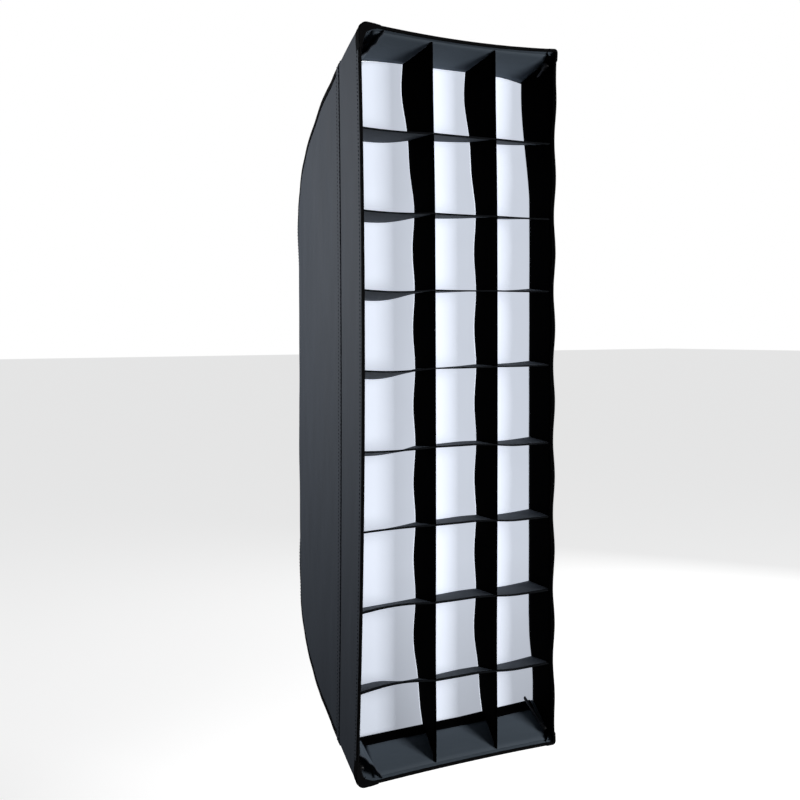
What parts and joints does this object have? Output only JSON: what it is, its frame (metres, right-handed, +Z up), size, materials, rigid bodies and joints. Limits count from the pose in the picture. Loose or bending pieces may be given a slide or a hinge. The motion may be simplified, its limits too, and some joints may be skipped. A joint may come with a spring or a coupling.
{
  "type": "strip softbox",
  "caption": "Tall narrow fabric light modifier with a fabric egg-crate grid, diffusers and bowed rods on a rotating speed ring.",
  "frame": {"origin": "centre of the mount insert's rear seat face, on the ring's axis", "axes": "+Z up along the long side, +Y out of the back towards the lamp, the light leaves towards -Y"},
  "size_m": [0.3, 0.2816, 0.9],
  "materials": {
    "black_nylon": "woven coated nylon, black outside",
    "grid_nylon": "matt black woven nylon with bound edges",
    "diffusion_cloth": "translucent white ripstop diffusion cloth",
    "webbing": "black bias binding and webbing",
    "hook_tape": "black hook-and-loop tape",
    "spring_steel": "drawn spring steel rod",
    "cast_aluminium": "die-cast aluminium with black powder coat",
    "plated_steel": "bright zinc-plated steel",
    "moulded_plastic": "moulded black nylon plastic"
  },
  "bodies": {
    "baffle": {"baffle_strap_bottom_left": "webbing", "baffle_strap_bottom_right": "webbing", "baffle_strap_top_left": "webbing", "baffle_strap_top_right": "webbing", "inner_baffle": "diffusion_cloth"},
    "softbox": {"corner_pocket_bottom_left": "black_nylon", "corner_pocket_bottom_right": "black_nylon", "corner_pocket_top_left": "black_nylon", "corner_pocket_top_right": "black_nylon", "front_edge_binding": "webbing", "front_lip_bottom": "black_nylon", "front_lip_left": "black_nylon", "front_lip_right": "black_nylon", "front_lip_top": "black_nylon", "rear_collar": "webbing", "recess_loop_tape": "hook_tape", "rod_bottom_left": "spring_steel", "rod_bottom_right": "spring_steel", "rod_socket_bottom_left": "plated_steel", "rod_socket_bottom_right": "plated_steel", "rod_socket_top_left": "plated_steel", "rod_socket_top_right": "plated_steel", "rod_tip_bottom_left": "moulded_plastic", "rod_tip_bottom_right": "moulded_plastic", "rod_tip_top_left": "moulded_plastic", "rod_tip_top_right": "moulded_plastic", "rod_top_left": "spring_steel", "rod_top_right": "spring_steel", "skin_panel_bottom": "black_nylon", "skin_panel_left": "black_nylon", "skin_panel_right": "black_nylon", "skin_panel_top": "black_nylon", "speed_ring": "cast_aluminium"},
    "diffuser": {"diffuser_hook_tape": "hook_tape", "front_diffuser": "diffusion_cloth"},
    "grid": {"grid_border_bottom": "grid_nylon", "grid_border_left": "grid_nylon", "grid_border_right": "grid_nylon", "grid_border_top": "grid_nylon", "grid_level_1": "grid_nylon", "grid_level_2": "grid_nylon", "grid_level_3": "grid_nylon", "grid_level_4": "grid_nylon", "grid_level_5": "grid_nylon", "grid_level_6": "grid_nylon", "grid_level_7": "grid_nylon", "grid_level_8": "grid_nylon", "grid_upright_1": "grid_nylon", "grid_upright_2": "grid_nylon"},
    "lock": {"lock_knob": "moulded_plastic", "lock_stud": "plated_steel"},
    "mount": {"mount_insert": "cast_aluminium", "retainer_screw_1": "plated_steel", "retainer_screw_2": "plated_steel", "retainer_screw_3": "plated_steel", "retainer_screw_4": "plated_steel", "retaining_ring": "plated_steel"}
  },
  "joints": [
    {"name": "softbox_turn", "type": "hinge", "parent": "mount", "child": "softbox", "pos_m": [0, -0.0093, 0], "axis": [0, 1, 0], "continuous": true},
    {"name": "lock_turn", "type": "hinge", "parent": "softbox", "child": "lock", "pos_m": [0.0592, -0.0093, 0], "axis": [1, 0, 0], "range_deg": [0, 270]},
    {"name": "baffle_out", "type": "slide", "parent": "softbox", "child": "baffle", "axis": [0, -1, 0], "range_m": [0, 0.2]},
    {"name": "diffuser_out", "type": "slide", "parent": "baffle", "child": "diffuser", "axis": [0, -1, 0], "range_m": [0, 0.12]},
    {"name": "grid_out", "type": "slide", "parent": "diffuser", "child": "grid", "axis": [0, -1, 0], "range_m": [0, 0.1]}
  ]
}
